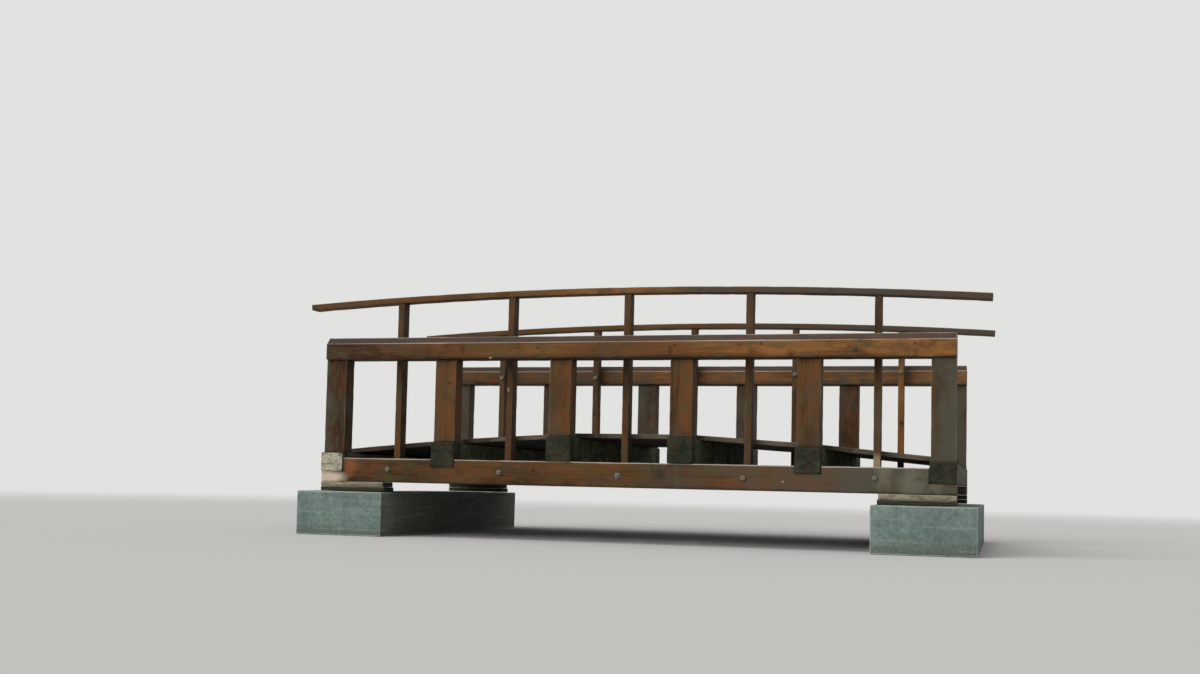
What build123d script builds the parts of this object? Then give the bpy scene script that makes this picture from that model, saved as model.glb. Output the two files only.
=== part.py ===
from build123d import *
import os

# A timber footbridge on two concrete abutments, all sizes in millimetres.
# X runs along the span, Y across it and Z up, with the origin under the middle of the span
# on the level that the abutments stand on. The near side is -Y and the left end is -X.

# Span and width
bay_length = 900.0
bay_count = 5
frame_spacing = 2490.0

# Side frames
bottom_chord_height = 180.0
bottom_chord_depth = 180.0
top_chord_height = 170.0
top_chord_depth = 180.0
top_chord_bevel = 50.0
frame_opening_height = 745.0
post_width = 165.0
post_depth = 135.0

# Cross beams
beam_width = 180.0
beam_height = 180.0
end_beam_height = 145.0
beam_end_projection = 10.0
end_notch_depth = 105.0
second_notch_depth = 55.0

# Deck
deck_thickness = 36.0
deck_side_clearance = 5.0

# Handrails
rail_post_width = 50.0
rail_post_depth = 100.0
rail_thickness = 45.0
rail_width = 120.0
rail_overhang = 313.0
rail_top_above_chord = 367.0
rail_rise = 88.0

# Bearings and abutments
bearing_board_thickness = 36.0
bearing_board_width = 180.0
bearing_board_length = 522.0
upper_board_step = 8.0
abutment_height = 330.0
abutment_width = 2900.0
abutment_front = 470.0
abutment_back = 230.0
abutment_edge_bevel = 12.0

# Levels
chord_base = abutment_height + 2 * bearing_board_thickness
chord_top = chord_base + bottom_chord_height
top_chord_base = chord_top + frame_opening_height
top_chord_top = top_chord_base + top_chord_height
rail_top_mid = top_chord_top + rail_top_above_chord

# Places along and across the span
span = bay_count * bay_length
post_places = [index * bay_length - span / 2 for index in range(bay_count + 1)]
rail_post_places = [place + bay_length / 2 for place in post_places[:-1]]
frame_offset = frame_spacing / 2
rail_post_offset = frame_offset - (bottom_chord_depth + rail_post_depth) / 2
deck_half_width = rail_post_offset - rail_post_depth / 2 - deck_side_clearance
SIDES = {"near": -1, "far": 1}
ENDS = {"left": -1, "right": 1}


def block(x, y, z):
    """Returns a box between the two limits given for each of the three directions."""
    solid = Box(x[1] - x[0], y[1] - y[0], z[1] - z[0])
    return Pos((x[0] + x[1]) / 2, (y[0] + y[1]) / 2, (z[0] + z[1]) / 2) * solid


def around(middle, width):
    """Returns the two limits of a width centred on a place."""
    return (middle - width / 2, middle + width / 2)


def side_profile(points, y):
    """Returns the prism of an outline in the X-Z plane between two limits across the span."""
    outline = make_face(Polyline([(x, y[0], z) for x, z in points], close=True))
    return extrude(outline, amount=y[1] - y[0], dir=(0, 1, 0))


def is_end(index):
    return index in (0, bay_count)


def notch_depth(index):
    """Returns how deep a cross beam sits in the bottom chords, less towards mid span."""
    from_end = min(index, bay_count - index)
    depths = (end_notch_depth, second_notch_depth)
    return depths[from_end] if from_end < len(depths) else 0.0


def beam_limits(index):
    """Returns the lower and upper level of a cross beam."""
    low = chord_top - notch_depth(index)
    return (low, low + (end_beam_height if is_end(index) else beam_height))


def beam_box(index):
    length = frame_spacing + bottom_chord_depth + 2 * beam_end_projection
    return block(around(post_places[index], beam_width), around(0, length), beam_limits(index))


def bottom_chord(side):
    """A straight beam, notched from above for the cross beams."""
    length = span + beam_width
    chord = block(
        around(0, length),
        around(side * frame_offset, bottom_chord_depth),
        (chord_base, chord_top),
    )
    for index in range(bay_count + 1):
        if notch_depth(index) > 0:
            chord = chord - beam_box(index)
    return chord


def top_chord(side):
    """A straight beam with both upper edges bevelled."""
    chord = block(
        around(0, span + post_width),
        around(side * frame_offset, top_chord_depth),
        (top_chord_base, top_chord_top),
    )
    upper_edges = chord.edges().filter_by(Axis.X).group_by(Axis.Z)[-1]
    return chamfer(upper_edges, top_chord_bevel)


def post(index, side):
    """A wide post from the end of a cross beam to the top chord."""
    return block(
        around(post_places[index], post_width),
        around(side * frame_offset, post_depth),
        (beam_limits(index)[1], top_chord_base),
    )


def rail_outline():
    """Returns the handrail's side view: two concentric arcs closed by square-cut ends."""
    half = span / 2 + rail_overhang
    radius = (half**2 + rail_rise**2) / (2 * rail_rise)
    centre_level = rail_top_mid - radius
    inner = radius - rail_thickness
    end_level = rail_top_mid - rail_rise - centre_level
    inner_half = half * inner / radius
    inner_end = centre_level + end_level * inner / radius
    upper = ThreePointArc(
        (-half, 0, rail_top_mid - rail_rise), (0, 0, rail_top_mid), (half, 0, rail_top_mid - rail_rise)
    )
    lower = ThreePointArc(
        (inner_half, 0, inner_end), (0, 0, rail_top_mid - rail_thickness), (-inner_half, 0, inner_end)
    )
    closing = [Line(upper @ 1, lower @ 0), Line(lower @ 1, upper @ 0)]
    return make_face([upper, closing[0], lower, closing[1]])


def handrail(side):
    """An arched board that lies on the heads of the rail posts."""
    board = extrude(rail_outline(), amount=rail_width / 2, dir=(0, 1, 0), both=True)
    return Pos(0, side * rail_post_offset, 0) * board


def rail_post(index, side):
    """A slim post on the inner faces of both chords, its head cut to the handrail's curve."""
    blank = block(
        around(rail_post_places[index], rail_post_width),
        around(side * rail_post_offset, rail_post_depth),
        (chord_base, rail_top_mid - rail_rise / 2),
    )
    above_rail = extrude(rail_outline(), amount=rail_width, dir=(0, 1, 0), both=True)
    kept = blank - Pos(0, side * rail_post_offset, 0) * above_rail
    return kept.solids().sort_by(Axis.Z)[0]


def deck_panel(index):
    """The boards of one bay, laid from beam to beam and cut level where they would sink into one."""
    left, right = post_places[index], post_places[index + 1]
    low, high = beam_limits(index)[1], beam_limits(index + 1)[1]
    slope = (high - low) / bay_length
    start = left - beam_width / 2 if is_end(index) else left
    finish = right + beam_width / 2 if is_end(index + 1) else right
    underside = [(x, low + slope * (x - left)) for x in (start, finish)]
    upper = [(x, z + deck_thickness) for x, z in reversed(underside)]
    panel = side_profile(underside + upper, around(0, 2 * deck_half_width))
    for beam in (index, index + 1):
        panel = panel - beam_box(beam)
    return panel


def bearing_boards(end, layer):
    """One layer of the boards between the chords and an abutment, one board under each chord."""
    outer = end * (span / 2 + beam_width / 2)
    length = bearing_board_length - layer * upper_board_step
    low = abutment_height + layer * bearing_board_thickness
    x = sorted((outer, outer - end * length))
    z = (low, low + bearing_board_thickness)
    boards = [block(x, around(side * frame_offset, bearing_board_width), z) for side in SIDES.values()]
    return Compound(boards)


def abutment(end):
    """A concrete block with its arrises slightly bevelled."""
    middle = end * span / 2
    x = sorted((middle - end * abutment_front, middle + end * abutment_back))
    concrete = block(x, around(0, abutment_width), (0, abutment_height))
    upper_edges = concrete.edges().group_by(Axis.Z)[-1]
    upright_edges = concrete.edges().filter_by(Axis.Z)
    return chamfer(upper_edges + upright_edges, abutment_edge_bevel)


def parts():
    """Yields every piece with its name."""
    for name, end in ENDS.items():
        yield f"abutment_{name}", abutment(end)
        yield f"bearing_boards_lower_{name}", bearing_boards(end, 0)
        yield f"bearing_boards_upper_{name}", bearing_boards(end, 1)
    for index in range(bay_count + 1):
        yield f"cross_beam_{index + 1}", beam_box(index)
    for index in range(bay_count):
        yield f"deck_bay_{index + 1}", deck_panel(index)
    for name, side in SIDES.items():
        yield f"bottom_chord_{name}", bottom_chord(side)
        yield f"top_chord_{name}", top_chord(side)
        yield f"handrail_{name}", handrail(side)
        for index in range(bay_count + 1):
            yield f"post_{name}_{index + 1}", post(index, side)
        for index in range(bay_count):
            yield f"rail_post_{name}_{index + 1}", rail_post(index, side)


os.makedirs("parts", exist_ok=True)
for part_name, shape in parts():
    export_step(shape, f"parts/{part_name}.step")
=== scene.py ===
import math
import random
from dataclasses import dataclass
from types import SimpleNamespace
import bmesh
import bpy
from mathutils import Matrix, Vector, noise


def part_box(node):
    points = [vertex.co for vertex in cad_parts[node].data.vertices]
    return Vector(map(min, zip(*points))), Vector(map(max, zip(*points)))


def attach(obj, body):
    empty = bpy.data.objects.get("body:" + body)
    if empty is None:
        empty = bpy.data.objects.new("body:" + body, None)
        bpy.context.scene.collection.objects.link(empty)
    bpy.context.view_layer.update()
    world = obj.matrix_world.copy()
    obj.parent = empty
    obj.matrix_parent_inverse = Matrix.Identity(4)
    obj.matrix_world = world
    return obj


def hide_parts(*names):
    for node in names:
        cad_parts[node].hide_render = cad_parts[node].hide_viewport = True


# A timber footbridge: red-brown stained frames and handrails, bare grey cross beams and deck boards,
# galvanised bolts, and concrete abutments. All sizes are in metres.

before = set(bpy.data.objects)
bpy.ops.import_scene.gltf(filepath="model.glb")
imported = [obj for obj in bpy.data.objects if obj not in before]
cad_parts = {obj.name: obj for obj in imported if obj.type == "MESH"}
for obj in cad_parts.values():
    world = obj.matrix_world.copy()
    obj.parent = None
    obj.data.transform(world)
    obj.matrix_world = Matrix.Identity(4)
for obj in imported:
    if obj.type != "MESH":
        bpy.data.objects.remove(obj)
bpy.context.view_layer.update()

# The photograph's camera: place, heading to the left, upward tilt, roll, and lens
PHOTO_WIDTH, PHOTO_HEIGHT = 1200, 674
CAMERA_PLACE = (2.637, -10.639, 0.425)
CAMERA_HEADING = 0.2900
CAMERA_TILT = 0.0584
CAMERA_ROLL = 0.0226
FOCAL_PIXELS = 1357.0
CENTRE_ROW = 404.8
SENSOR_WIDTH = 36.0

# How strong the world's light and the two lamps are
AMBIENT = 0.36
KEY = 2.15
FILL = 0.1
LAMP_ANGLE = 60

# Sizes that the solids' boxes don't give
TOP_CHORD_BEVEL = 0.050
RAIL_THICKNESS = 0.045
BOARD_THICKNESS = 0.036
BOARD_COUNT = 14
BOARD_GAP = 0.005
BOARD_END_GAP = 0.004
NOTCH_GAP = 0.004
NOTCH_FLOOR_GAP = 0.001
ABUTMENT_RADIUS = 0.012
BOLT_ABOVE_CHORD_BASE = 0.094
TOP_BOLT_ABOVE_CHORD_BASE = 0.0775
WASHER_RADIUS = 0.021
WIDE_WASHER_RADIUS = 0.029
WASHER_THICKNESS = 0.004
NUT_RADIUS = 0.0173
SCREW_HEIGHT = 0.0027
SCREW_INSET = 0.035
RAIL_SCREW_OFFSET = 0.022
SEAT_DEPTH = 0.001

# The sides and ends by name, with their signs, and the numbers of the posts and bays
SIDES = {"near": -1, "far": 1}
ENDS = {"left": -1, "right": 1}
POSTS = range(1, 7)
BAYS = range(1, 6)

# The direction that a timber runs in, then the two across it. The first face of its section looks
# along the first of these, and the second face along the second.
RUNS = {"X": (0, 1, 2), "Y": (1, 2, 0), "Z": (2, 0, 1)}


def linear(red, green, blue):
    """Returns the shader colour for a colour given as 0 to 255 on a screen."""
    values = [channel / 255 for channel in (red, green, blue)]
    return tuple(v / 12.92 if v <= 0.04045 else ((v + 0.055) / 1.055) ** 2.4 for v in values) + (1.0,)


BACKGROUND = linear(226, 226, 224)
FLOOR = linear(214, 213, 209)
KNOT = linear(34, 23, 15)
DIRT = linear(40, 38, 26)
CRACK = linear(16, 14, 11)
BARE_WOOD = linear(172, 164, 140)


def smooth_step(value, low, high):
    """Rises smoothly from 0 to 1 as the value goes from low to high."""
    share = min(1.0, max(0.0, (value - low) / (high - low)))
    return share * share * (3 - 2 * share)


def between(pair, share):
    """Returns the value that lies at a share of the way between two."""
    return pair[0] + (pair[1] - pair[0]) * share


# Levels and places that the finishes need, read from the solids
CHORD_LOW, CHORD_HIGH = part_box("bottom_chord_near")
FIRST_BEAM, SECOND_BEAM = [sum(corner.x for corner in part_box(f"cross_beam_{i}")) / 2 for i in (1, 2)]
BAY = SECOND_BEAM - FIRST_BEAM
BOLT_LEVEL = CHORD_LOW.z + BOLT_ABOVE_CHORD_BASE
FRAME_OFFSET = -(CHORD_LOW.y + CHORD_HIGH.y) / 2
NEAR_FACE = CHORD_LOW.y
POST_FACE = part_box("post_near_2")[0].y
RAIL_POST_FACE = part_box("rail_post_near_2")[0].y


@dataclass
class Marks:
    """Marks of one colour, held as their places on each upright face, which its y stands for."""

    colour: tuple
    strength: float
    depth: float
    faces: dict
    ragged: float = 0.0


# The places of marks on a face: x, z, and reach along both
KNOT_SPOTS = (
    (-0.62, 1.404, 0.024, 0.012), (-0.03, 1.371, 0.018, 0.012), (0.40, 1.418, 0.018, 0.014),
    (1.02, 1.425, 0.012, 0.022), (2.06, 1.42, 0.016, 0.012),
)
STAIN_SPOTS = (
    (-1.21, 1.393, 0.025, 0.055), (0.375, 1.383, 0.020, 0.065), (1.66, 1.37, 0.028, 0.030),
    (0.31, 0.500, 0.070, 0.060), (0.256, 0.545, 0.012, 0.060),
)
POST_STAIN_SPOTS = ((1.36, 0.79, 0.060, 0.100), (1.33, 0.72, 0.045, 0.050))
# Pale patches on the right part of the near bottom chord: painted dappled sunlight
SUNLIT_PATCH_SPOTS = ((1.86, 0.53, 0.090, 0.140), (2.04, 0.48, 0.120, 0.170), (2.20, 0.50, 0.080, 0.150))
# Knots, stains, a patch of painted sunlight, pale dust lightened by painted sunlight, pale patches of
# painted dappled sunlight and a chip, laid on in this order
FRAME_MARKS = (
    Marks(KNOT, 0.6, 0.02, {NEAR_FACE: KNOT_SPOTS, POST_FACE: ((-1.314, 1.150, 0.020, 0.018),)}),
    Marks(DIRT, 0.5, 0.06, {NEAR_FACE: STAIN_SPOTS, POST_FACE: POST_STAIN_SPOTS}, 0.05),
    # A ruddy glow by the left notch of the near bottom chord: painted sunlight
    Marks(linear(148, 88, 50), 0.6, 0.03, {NEAR_FACE: ((-2.10, 0.51, 0.085, 0.100),)}, 0.06),
    # Pale dust at the left end of the near bottom chord, made paler still as painted sunlight
    Marks(linear(216, 196, 174), 0.92, 0.05, {NEAR_FACE: ((-2.27, 0.43, 0.180, 0.080),)}, 0.05),
    # Pale patches of painted dappled sunlight
    Marks(linear(118, 116, 97), 0.55, 0.03, {NEAR_FACE: SUNLIT_PATCH_SPOTS}, 0.1),
    Marks(BARE_WOOD, 0.9, 0.02, {NEAR_FACE + 0.004: ((-0.99, 1.335, 0.018, 0.008),)}),
)
# A chip, and painted sunlight on the foot of a handrail post
RAIL_MARKS = (
    Marks(BARE_WOOD, 0.9, 0.01, {RAIL_POST_FACE: ((-0.91, 1.113, 0.008, 0.022),)}),
    # Painted sunlight on the foot of the near handrail post by the right end
    Marks(linear(172, 150, 114), 0.85, 0.04, {RAIL_POST_FACE: ((1.80, 0.60, 0.080, 0.100),)}, 0.02),
)


# Materials


class Nodes:
    """Builds the node tree of a material or a world with short calls."""

    def __init__(self, owner):
        owner.use_nodes = True
        self.owner = owner
        self.tree = owner.node_tree
        self.tree.nodes.clear()

    def add(self, kind, inputs=None, **settings):
        node = self.tree.nodes.new("ShaderNode" + kind)
        for name, value in settings.items():
            setattr(node, name, value)
        for key, value in (inputs or {}).items():
            if isinstance(value, bpy.types.NodeSocket):
                self.tree.links.new(value, node.inputs[key])
            else:
                node.inputs[key].default_value = value
        return node

    def attribute(self, name, output="Vector"):
        return self.add("Attribute", attribute_name=name).outputs[output]

    def place(self):
        return self.add("NewGeometry").outputs["Position"]

    def parts(self, vector):
        return self.add("SeparateXYZ", {0: vector}).outputs

    def facing(self, axis):
        """How far the surface faces along an axis, from -1 to 1."""
        return self.parts(self.add("NewGeometry").outputs["Normal"])[axis]

    def math(self, operation, first, second=0.0):
        return self.add("Math", {0: first, 1: second}, operation=operation).outputs[0]

    def plus(self, first, second):
        return self.math("ADD", first, second)

    def minus(self, first, second):
        return self.math("SUBTRACT", first, second)

    def times(self, first, second):
        return self.math("MULTIPLY", first, second)

    def swing(self, value, amount, middle=0.5):
        """How far a value lies off its middle, times an amount."""
        return self.times(self.minus(value, middle), amount)

    def vector(self, operation, *inputs, output=0):
        node = self.add("VectorMath", dict(enumerate(inputs)), operation=operation)
        return node.outputs[output]

    def stretch(self, vector, factors):
        return self.vector("MULTIPLY", vector, factors)

    def shift(self, vector, offset):
        return self.vector("ADD", vector, offset)

    def length(self, vector):
        return self.vector("LENGTH", vector, output="Value")

    def noise(self, vector, scale, detail=2.0, roughness=0.5):
        """Noise of one scale, or of one scale for each direction."""
        if isinstance(scale, tuple):
            vector, scale = self.stretch(vector, scale), 1.0
        inputs = {"Vector": vector, "Scale": scale, "Detail": detail, "Roughness": roughness}
        return self.add("TexNoise", inputs).outputs[0]

    def jitter(self, vector, scale, amount):
        """Moves a point at random, by up to about half the amount."""
        wobble = self.add("TexNoise", {"Vector": vector, "Scale": scale, "Detail": 3.0})
        centred = self.shift(wobble.outputs["Color"], (-0.5, -0.5, -0.5))
        return self.shift(vector, self.stretch(centred, (amount, amount, amount)))

    def cells(self, vector, scale, output="Distance"):
        return self.add("TexVoronoi", {"Vector": vector, "Scale": scale}).outputs[output]

    def fade(self, value, start, end, low=0.0, high=1.0):
        """A smooth change from low to high as the value goes from start to end."""
        inputs = {0: value, 1: start, 2: end, 3: low, 4: high}
        return self.add("MapRange", inputs, interpolation_type="SMOOTHSTEP").outputs[0]

    def mix(self, share, first, second, blend="MIX"):
        inputs = {0: share, 6: first, 7: second}
        return self.add("Mix", inputs, data_type="RGBA", blend_type=blend).outputs[2]

    def coats(self, colour, *coats):
        """Lays coats over a colour, each given as how far it covers and its own colour."""
        for share, coat in coats:
            colour = self.mix(share, colour, coat)
        return colour

    def finish(self, colour, roughness, normal=None, **fixed):
        """Gives a material its surface, and returns it."""
        inputs = {"Base Color": colour, "Roughness": roughness}
        if normal is not None:
            inputs["Normal"] = normal
        inputs.update({key.replace("_", " "): value for key, value in fixed.items()})
        shader = self.add("BsdfPrincipled", inputs)
        self.add("OutputMaterial", {0: shader.outputs[0]})
        return self.owner

    def bump(self, height, strength, distance):
        inputs = {"Height": height, "Strength": strength, "Distance": distance}
        return self.add("Bump", inputs).outputs[0]


# What a kind of timber has where its look says nothing else
PLAIN_LOOK = {"ring_gap": 0.0055, "relief": 1.0, "roughness": 0.72, "drips": 0.0}
PLAIN_LOOK.update(fresh_cut=None, under=None)


def wood_look(**own):
    """Returns the surface of one kind of timber, and its colours, given as 0 to 255 on a screen."""
    shaded = {key: linear(*value) if isinstance(value, tuple) else value for key, value in own.items()}
    return SimpleNamespace(**{**PLAIN_LOOK, **shaded})


# How many cells that may hold a knot go to a metre, and the scale of rings a metre apart
KNOT_CELLS = 4.4
METRE_RINGS = 0.314


def knots(n, grain):
    """Knots are cells in the timber's volume: returns their dark hearts and the wood round them."""
    distance = n.math("DIVIDE", n.cells(grain, KNOT_CELLS), KNOT_CELLS)
    return n.fade(distance, 0.013, 0.007), n.fade(distance, 0.050, 0.010)


def year_rings(n, grain, bend, gap):
    """Returns the year rings about the pith, from 0 to 1 across each, bent by a value."""
    place = n.shift(n.stretch(grain, (0.045, 1.0, 1.0)), bend)
    inputs = {"Vector": place, "Scale": METRE_RINGS / gap, "Distortion": 1.2, "Detail": 2.0}
    inputs["Detail Scale"] = 0.6
    return n.add("TexWave", inputs, wave_type="RINGS", rings_direction="X").outputs["Fac"]


def wood_textures(n, grain, place, ring_gap):
    """Returns the textures that a timber's colour and relief are made of."""
    t = SimpleNamespace()
    t.wander = n.noise(grain, (0.5, 6.0, 6.0), 2.0)
    t.knot_core, t.knot_halo = knots(n, grain)
    bend = n.plus(n.times(t.knot_halo, 0.012), n.times(t.wander, 0.035))
    t.rings = year_rings(n, grain, bend, ring_gap)
    t.late_wood = n.fade(t.rings, 0.45, 1.0)

    # Fibres and small flecks run with the grain, and stain and dirt lie in patches
    t.fibres = n.noise(grain, (7.0, 190.0, 190.0), 4.0, 0.6)
    t.flecks = n.noise(grain, (22.0, 600.0, 600.0), 2.0, 0.6)
    t.streaks = n.noise(n.shift(grain, (5.0, 4.0, 8.0)), (2.0, 62.0, 62.0), 3.0, 0.6)
    t.patches = n.noise(grain, (1.3, 6.0, 6.0), 3.0, 0.55)
    t.hues = n.noise(n.shift(grain, (7.0, 3.0, 5.0)), (3.0, 9.0, 9.0), 3.0, 0.5)
    t.tints = n.noise(n.shift(grain, (2.0, 9.0, 4.0)), (7.0, 22.0, 22.0), 2.0, 0.5)
    t.blotches = n.noise(place, 4.2, 4.0, 0.62)
    t.smudges = n.noise(place, 19.0, 3.0, 0.6)
    t.stained = n.plus(t.blotches, n.times(t.smudges, 0.35))
    return t


def stained_wood(n, t, look, tone):
    """Returns the colour of the long faces before they weather."""
    level = n.plus(n.times(t.patches, 0.85), n.times(t.fibres, 0.35))
    level = n.plus(level, n.swing(t.streaks, 0.5))
    level = n.plus(level, n.times(tone, 0.24))
    level = n.minus(level, n.times(t.late_wood, 0.09))
    ruddiness = n.times(n.fade(t.hues, 0.50, 0.66), n.fade(tone, -1.8, -0.6, 0.15, 0.55))
    return n.coats(
        look.dark,
        (n.fade(level, 0.22, 0.62), look.middle),
        (n.fade(level, 0.60, 1.0), look.light),
        (ruddiness, look.ruddy),
        (n.fade(t.hues, 0.46, 0.34, 0.0, 0.5), look.dusty),
        (n.fade(t.tints, 0.54, 0.68, 0.0, 0.35), look.ruddy),
        (n.fade(t.tints, 0.47, 0.34, 0.0, 0.55), look.mossy),
        (n.fade(t.stained, 0.66, 0.86, 0.0, 0.5), look.dark),
        (n.fade(t.flecks, 0.58, 0.76, 0.0, 0.4), look.dark),
        (n.times(t.knot_halo, 0.4), look.dark),
        (n.times(t.knot_core, 0.8), KNOT),
    )


def aged_wood(n, t, look, colour, place, age):
    """Adds the damp and age that darken and grey a timber from its ends and feet, and the painted shade
    that some timbers carry in the same value.
    """
    if look.drips:
        drips = n.noise(place, (15.0, 15.0, 1.6), 3.0, 0.6)
        age = n.plus(age, n.fade(drips, 0.42, 0.70, 0.0, look.drips))
    ragged_age = n.plus(age, n.swing(t.stained, 1.35, 0.65))
    return n.mix(n.fade(ragged_age, 0.15, 0.95, 0.0, 0.9), colour, look.damp)


def bolt_stains(n, place, smudges):
    """Returns the streaks that run down the bottom chords from their bolts."""
    x, y, z = n.parts(place)[:3]
    shifted = n.minus(x, 0.012)
    beside = n.add("Math", {0: shifted, 1: -BAY / 2, 2: BAY / 2}, operation="WRAP").outputs[0]
    beside = n.plus(beside, n.swing(smudges, 0.05))
    streak = n.fade(n.math("ABSOLUTE", beside), 0.042, 0.0)
    below = n.fade(z, BOLT_LEVEL + 0.02, BOLT_LEVEL - 0.01)
    outside = n.math("GREATER_THAN", n.math("ABSOLUTE", y), FRAME_OFFSET)
    strength = n.fade(x, -1.2, -1.6, 0.2, 0.62)
    return n.times(n.times(streak, below), n.times(outside, strength))


def darker_lower_arris(n, colour, place):
    """Darkens the bottom chords along their lower arrises."""
    level = n.parts(n.jitter(place, 16.0, 0.05))[2]
    return n.mix(n.fade(level, CHORD_LOW.z + 0.022, CHORD_LOW.z, 0.0, 0.6), colour, DIRT)


def weathered_wood(n, t, look, colour, edge):
    """Bleaches what faces the sky and paints a sky reflection on it, and rubs the upper arrises to the bare
    wood with a painted highlight along them.
    """
    up = n.facing(2)
    # Darkens the faces that look down, as painted shade
    if look.under:
        colour = n.mix(n.fade(up, -0.4, -0.8, 0.0, 0.85), colour, look.under)
    bleached = n.mix(n.fade(t.fibres, 0.3, 0.7), look.weathered, n.mix(0.5, look.weathered, look.dark))
    # Upward faces greyed: bleaching, with a painted sky reflection
    sky_bleach_and_sheen = n.times(n.fade(up, 0.25, 0.7), n.fade(t.blotches, 0.2, 0.6, 0.95, 0.75))
    # Upper arrises made pale: wear, with a painted highlight
    rubbed_and_highlit = n.times(n.fade(up, -0.35, 0.55, 0.25, 1.0), edge)
    rubbed_and_highlit = n.plus(rubbed_and_highlit, n.swing(t.patches, 0.9))
    return n.coats(colour, (sky_bleach_and_sheen, bleached), (n.fade(rubbed_and_highlit, 0.36, 0.84, 0.0, 0.9), look.worn))


def add_marks(n, colour, place, marks):
    """Adds the marks of one kind to a colour."""
    if marks.ragged:
        place = n.jitter(place, 16.0, marks.ragged)
    found = 0.0
    for y, spots in marks.faces.items():
        for x, z, wide, high in spots:
            offset = n.shift(place, (-x, -y, -z))
            distance = n.length(n.stretch(offset, (1 / wide, 1 / marks.depth, 1 / high)))
            found = n.math("MAXIMUM", found, n.fade(distance, 1.0, 0.3))
    return n.mix(n.times(found, marks.strength), colour, marks.colour)


def end_cracks(n, grain, t):
    """Returns the drying cracks on a sawn end, which run out from the pith."""
    spoke = n.vector("NORMALIZE", n.stretch(grain, (0.0, 1.0, 1.0)))
    ray = n.noise(n.shift(n.stretch(spoke, (0.0, 1.9, 1.9)), n.times(t.wander, 0.5)), 1.0, 2.0)
    line = n.fade(n.math("ABSOLUTE", n.minus(ray, 0.5)), 0.012, 0.003)
    return n.times(line, n.fade(t.smudges, 0.38, 0.5))


def sawn_end(n, t, look, grain, tone, crack):
    """Returns the colour of a timber's ends, which show its rings and drying cracks."""
    ring_share = n.fade(t.rings, 0.3, 0.9, 0.0, 0.35)
    colour = n.coats(
        look.cut,
        (n.fade(t.hues, 0.48, 0.62, 0.0, 0.8), look.ruddy),
        (n.fade(t.tints, 0.50, 0.36, 0.0, 0.7), look.mossy),
        (ring_share, look.dark),
        (n.fade(t.stained, 0.5, 0.9, 0.0, 0.75), look.damp),
    )
    if look.fresh_cut:
        dust = n.fade(t.tints, 0.50, 0.36, 0.0, 0.45)
        fresh = n.coats(look.fresh_cut, (ring_share, look.dark), (dust, look.dusty))
        colour = n.mix(n.fade(tone, 1.0, 1.8), colour, fresh)
    specks = n.noise(grain, 75.0, 3.0, 0.6)
    colour = n.mix(1.0, colour, n.fade(specks, 0.34, 0.66, 0.75, 1.25), "MULTIPLY")
    # The cracks are near black as painted shade inside them
    return n.mix(n.times(crack, 0.6), colour, CRACK)


def wood(name, look, marks=(), bolted=False):
    """Wood with year rings about its pith, fibres, knots, worn arrises and grey upper faces, with a painted
    highlight on the upper arrises and a painted sky reflection on the upper faces.

    The mesh gives each point's place in the timber as "grain". Its "state" is how near the point is
    to an arris, the timber's tone, and how damp or aged it is, where tone and age also carry painted
    light and shade on some timbers, and "cut" is 1 on the sawn ends.
    """
    n = Nodes(bpy.data.materials.new(name))
    grain = n.attribute("grain")
    edge, tone, age = n.parts(n.attribute("state"))[:3]
    end_face = n.attribute("cut", "Fac")
    place = n.place()
    t = wood_textures(n, grain, place, look.ring_gap)
    colour = aged_wood(n, t, look, stained_wood(n, t, look, tone), place, age)
    if bolted:
        colour = n.mix(bolt_stains(n, place, t.smudges), colour, look.mossy)
        colour = darker_lower_arris(n, colour, place)
    colour = weathered_wood(n, t, look, colour, edge)
    for kind in marks:
        colour = add_marks(n, colour, place, kind)
    crack = end_cracks(n, grain, t)
    colour = n.mix(n.fade(end_face, 0.4, 0.9), colour, sawn_end(n, t, look, grain, tone, crack))

    height = n.plus(n.times(t.fibres, 0.7), n.times(t.late_wood, 0.22))
    height = n.minus(height, n.times(t.flecks, 0.3))
    height = n.minus(height, n.times(t.knot_core, 0.3))
    height = n.minus(height, n.times(n.times(crack, end_face), 1.5))
    normal = n.bump(height, 0.5 * look.relief, 0.0016)
    roughness = n.fade(t.fibres, 0.2, 0.8, look.roughness - 0.08, look.roughness + 0.12)
    return n.finish(colour, roughness, normal, Specular_IOR_Level=0.14)


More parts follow.
